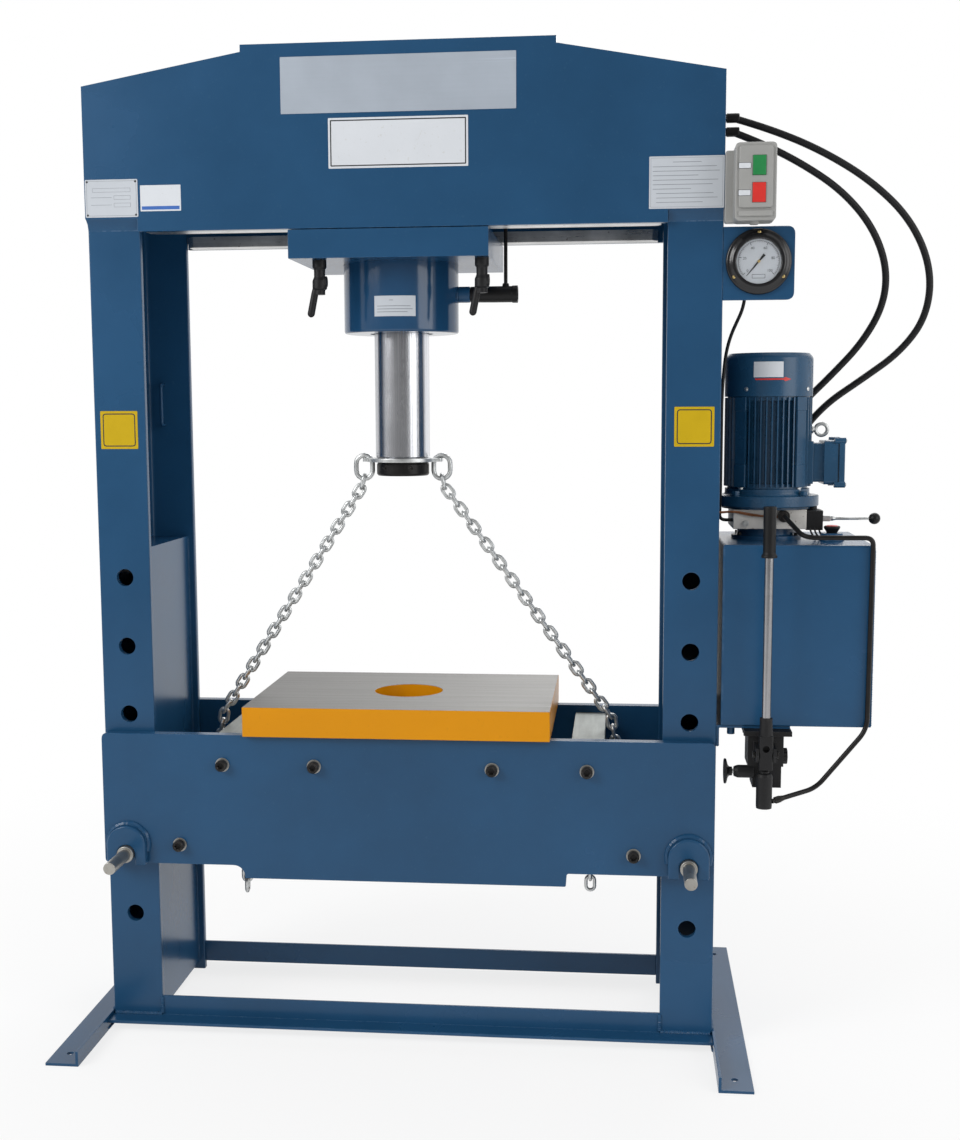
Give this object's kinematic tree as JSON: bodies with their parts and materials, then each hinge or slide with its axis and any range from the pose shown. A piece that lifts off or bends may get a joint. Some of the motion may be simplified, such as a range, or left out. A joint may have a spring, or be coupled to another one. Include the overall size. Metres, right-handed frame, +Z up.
{
  "type": "hydraulic workshop press",
  "caption": "H-frame hydraulic press with a travelling cylinder, a liftable pinned bed, lifting chains, a pressure gauge, a push-button box and a side-mounted electric and hand pump unit.",
  "frame": {"origin": "on the floor, midway between the four anchor holes, under the middle of the head", "axes": "+Z up, +X towards the power unit, -Y towards the operator"},
  "size_m": [1.8255, 0.8, 2.068],
  "materials": {
    "blue_paint": "semi-gloss machine enamel",
    "bare_steel": "machined, lightly greased",
    "zinc": "galvanised",
    "black_oxide": "black oxide",
    "yellow_paint": "gloss enamel",
    "chrome": "hard chrome",
    "black_cast": "black painted casting",
    "black_plastic": "moulded",
    "black_rubber": "hose cover",
    "bare_block": "machined",
    "grey_plastic": "moulded",
    "green_plastic": "moulded",
    "red_plastic": "moulded",
    "plate_white": "thin plain plate",
    "sticker_yellow": "film"
  },
  "bodies": {
    "frame": {"head_front_plate": "blue_paint", "head_rear_plate": "blue_paint", "head_rails": "bare_steel", "left_column": "blue_paint", "right_column": "blue_paint", "column_liners": "blue_paint", "feet": "blue_paint", "base_rails": "blue_paint", "stowage_hook": "blue_paint", "label_plates": "plate_white", "stickers": "sticker_yellow", "tank": "blue_paint", "tank_bracket": "blue_paint", "coupling_housing": "blue_paint", "valve_block": "bare_block", "motor_flange": "blue_paint", "motor_body": "blue_paint", "fan_cowl": "blue_paint", "terminal_box": "blue_paint", "valve_body": "black_cast", "pressure_pipe": "black_oxide", "pump_body": "black_cast", "switch_box": "grey_plastic", "gauge_bracket": "blue_paint", "gauge_case": "black_plastic", "gauge_hose": "black_rubber", "outer_hose": "black_rubber", "inner_hose": "black_rubber", "hose_fittings": "bare_block"},
    "bed": {"bed_front_plate": "blue_paint", "bed_rear_plate": "blue_paint", "bed_spacers": "blue_paint", "chain_hooks": "bare_steel", "bed_screws": "black_oxide", "saddles": "blue_paint", "bolster_plate": "yellow_paint", "left_chain": "zinc", "right_chain": "zinc"},
    "left_pin": {"left_pin": "bare_steel"},
    "right_pin": {"right_pin": "bare_steel"},
    "carriage": {"carriage_plate": "blue_paint", "roller_brackets": "blue_paint", "cylinder_body": "blue_paint", "shift_handle": "blue_paint", "shift_grip": "black_plastic", "shift_stay": "bare_steel"},
    "left_clamp": {"left_clamp": "black_oxide"},
    "right_clamp": {"right_clamp": "black_oxide"},
    "left_wheelset": {"left_wheelset": "bare_steel"},
    "right_wheelset": {"right_wheelset": "bare_steel"},
    "ram": {"ram_rod": "chrome", "chain_ring": "bare_steel", "press_nose": "black_oxide"},
    "valve_lever": {"valve_lever": "bare_steel"},
    "filler_cap": {"filler_cap": "black_plastic"},
    "pump_lever": {"pump_lever": "chrome"},
    "release_knob": {"release_knob": "black_plastic"},
    "start_button": {"start_button": "green_plastic"},
    "stop_button": {"stop_button": "red_plastic"},
    "gauge_needle": {"gauge_needle": "black_plastic"}
  },
  "joints": [
    {"name": "carriage_slide", "type": "slide", "parent": "frame", "child": "carriage", "axis": [1, 0, 0], "range_m": [-0.24, 0.28], "deforming": ["left_chain", "right_chain"]},
    {"name": "left_wheelset_spin", "type": "hinge", "parent": "carriage", "child": "left_wheelset", "pos_m": [-0.182, 0, 1.7533], "axis": [0, 1, 0], "range_deg": [-560, 660]},
    {"name": "right_wheelset_spin", "type": "hinge", "parent": "carriage", "child": "right_wheelset", "pos_m": [0.138, 0, 1.7533], "axis": [0, 1, 0], "range_deg": [-560, 660]},
    {"name": "ram_slide", "type": "slide", "parent": "carriage", "child": "ram", "axis": [0, 0, 1], "range_m": [-0.03, 0.25], "deforming": ["left_chain", "right_chain"]},
    {"name": "bed_lift", "type": "slide", "parent": "frame", "child": "bed", "axis": [0, 0, 1], "range_m": [0, 0.294], "deforming": ["left_chain", "right_chain"]},
    {"name": "left_pin_slide", "type": "slide", "parent": "frame", "child": "left_pin", "axis": [0, -1, 0], "range_m": [0, 0.47]},
    {"name": "right_pin_slide", "type": "slide", "parent": "frame", "child": "right_pin", "axis": [0, -1, 0], "range_m": [0, 0.47]},
    {"name": "left_clamp_turn", "type": "hinge", "parent": "carriage", "child": "left_clamp", "pos_m": [-0.17, -0.15, 1.6442], "axis": [0, 0, 1], "range_deg": [0, 90]},
    {"name": "right_clamp_turn", "type": "hinge", "parent": "carriage", "child": "right_clamp", "pos_m": [0.166, -0.15, 1.6442], "axis": [0, 0, 1], "range_deg": [0, 90]},
    {"name": "pump_lever_swing", "type": "hinge", "parent": "frame", "child": "pump_lever", "pos_m": [0.745, -0.236, 0.643], "axis": [1, 0, 0], "range_deg": [0, 60]},
    {"name": "valve_lever_tilt", "type": "hinge", "parent": "frame", "child": "valve_lever", "pos_m": [0.866, -0.021, 1.1055], "axis": [0, 1, 0], "range_deg": [-12, 12], "stiffness_Nm_per_rad": 2},
    {"name": "filler_cap_turn", "type": "hinge", "parent": "frame", "child": "filler_cap", "pos_m": [0.89, -0.06, 1.0783], "axis": [0, 0, 1], "range_deg": [0, 180]},
    {"name": "release_knob_turn", "type": "hinge", "parent": "frame", "child": "release_knob", "pos_m": [0.665, -0.19, 0.597], "axis": [1, 0, 0], "range_deg": [0, 180]},
    {"name": "start_button_press", "type": "slide", "parent": "frame", "child": "start_button", "axis": [0, 1, 0], "range_m": [0, 0.003], "stiffness_N_per_m": 300},
    {"name": "stop_button_press", "type": "slide", "parent": "frame", "child": "stop_button", "axis": [0, 1, 0], "range_m": [0, 0.003], "stiffness_N_per_m": 300},
    {"name": "gauge_needle_turn", "type": "hinge", "parent": "frame", "child": "gauge_needle", "pos_m": [0.719, -0.175, 1.626], "axis": [0, 1, 0], "range_deg": [0, 270], "stiffness_Nm_per_rad": 0.02}
  ],
  "couplings": [
    {"joint": "left_wheelset_spin", "follows": "carriage_slide", "rad_per_m": 40},
    {"joint": "right_wheelset_spin", "follows": "carriage_slide", "rad_per_m": 40}
  ]
}
